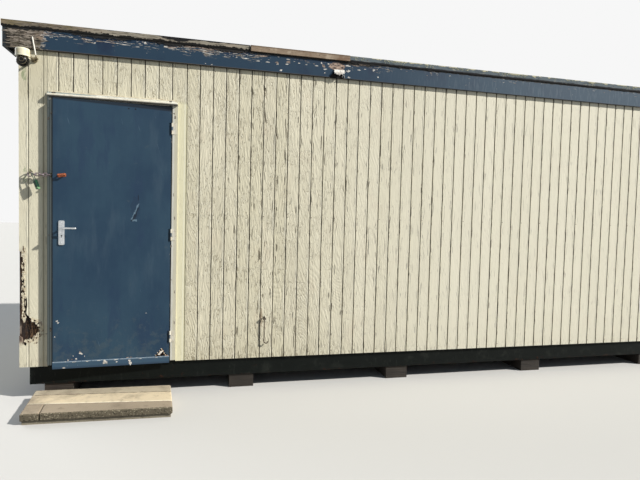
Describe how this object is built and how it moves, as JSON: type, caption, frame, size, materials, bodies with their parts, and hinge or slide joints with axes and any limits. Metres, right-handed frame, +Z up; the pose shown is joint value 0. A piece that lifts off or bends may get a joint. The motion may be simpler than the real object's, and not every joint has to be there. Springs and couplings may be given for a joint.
{
  "type": "portable site cabin",
  "caption": "Timber site cabin on a steel base frame, grooved plywood cladding, flat felted roof, hinged door with lever handle, lock chain, camera and kerb doorstep.",
  "frame": {"origin": "on the ground under the middle of the cabin, at the middle bearer's underside", "axes": "+X along the front wall to its right end, the front wall with the door faces -Y, +Z up"},
  "size_m": [6.304, 2.9871, 2.801],
  "materials": {
    "bearer_timber": "weathered sawn timber",
    "base_steel": "black paint, dusty",
    "floor_board": "worn plywood",
    "raw_timber": "bare rotten timber",
    "wall_lining": "painted board",
    "cladding": "cream paint on grooved plywood, checked and flaking",
    "ceiling_paint": "painted board",
    "roof_board": "boards",
    "felt": "mineral roofing felt",
    "fascia_paint": "dark slate blue paint, peeling",
    "end_fascia": "black stained board",
    "weathered_batten": "grey weathered wood",
    "new_batten": "bare brown wood",
    "lichen_batten": "blue grey wood with lichen",
    "frame_paint": "cream paint",
    "sill_wood": "worn hardwood",
    "door_paint": "slate blue paint, scuffed",
    "bar_paint": "lighter blue paint, chipped",
    "hinge_paint": "cream paint, chipped",
    "hinge_steel": "painted over",
    "handle_metal": "satin",
    "staple_paint": "red oxide and rust",
    "galvanised": "dull galvanised",
    "chain_steel": "dull, rusty",
    "padlock_jacket": "green jacket",
    "hook_steel": "dull brown steel",
    "camera_plastic": "cream",
    "camera_glass": "black dome",
    "kerb_concrete": "weathered concrete",
    "course_concrete": "weathered concrete"
  },
  "bodies": {
    "cabin": {"ground_bearers": "bearer_timber", "base_beam_front": "base_steel", "base_beam_back": "base_steel", "base_beam_ends": "base_steel", "cross_members": "base_steel", "floor_deck": "floor_board", "corner_post": "raw_timber", "front_wall_left": "wall_lining", "front_wall_over_door": "wall_lining", "front_wall_right": "wall_lining", "back_wall": "wall_lining", "left_wall": "wall_lining", "right_wall": "wall_lining", "front_cladding_left": "cladding", "front_cladding_over_door": "cladding", "front_cladding_right": "cladding", "back_cladding": "cladding", "left_cladding": "cladding", "right_cladding": "cladding", "ceiling_board": "ceiling_paint", "roof_deck": "roof_board", "roof_felt": "felt", "fascia_front": "fascia_paint", "fascia_back": "fascia_paint", "fascia_ends": "end_fascia", "edge_batten_left": "weathered_batten", "edge_batten_new": "new_batten", "edge_batten_right": "lichen_batten", "edge_battens_plain": "weathered_batten", "door_jambs": "frame_paint", "door_head": "frame_paint", "door_sill": "sill_wood", "drip_strip": "frame_paint", "hinges_frame_side": "hinge_paint", "wall_eye": "galvanised", "lock_chain": "chain_steel", "padlock": "padlock_jacket", "wall_hook": "hook_steel", "camera_bracket": "camera_plastic", "camera_cap": "camera_plastic", "camera_ball": "camera_glass", "doorstep_kerbs": "kerb_concrete", "doorstep_course": "course_concrete"},
    "door": {"door_leaf": "door_paint", "weather_bar": "bar_paint", "hinges_leaf_side": "hinge_steel", "handle_plates": "handle_metal", "door_staple": "staple_paint"},
    "lever": {"lever_handle": "handle_metal"}
  },
  "joints": [
    {"name": "door_hinge", "type": "hinge", "parent": "cabin", "child": "door", "pos_m": [-1.967, -1.236, 1.266], "axis": [0, 0, 1], "range_deg": [-3, 165]},
    {"name": "lever_turn", "type": "hinge", "parent": "door", "child": "lever", "pos_m": [-2.74624, -1.2518, 1.306], "axis": [-0.0523, 0.9986, 0], "range_deg": [0, 38], "stiffness_Nm_per_rad": 2, "springref_deg": -17.19}
  ]
}
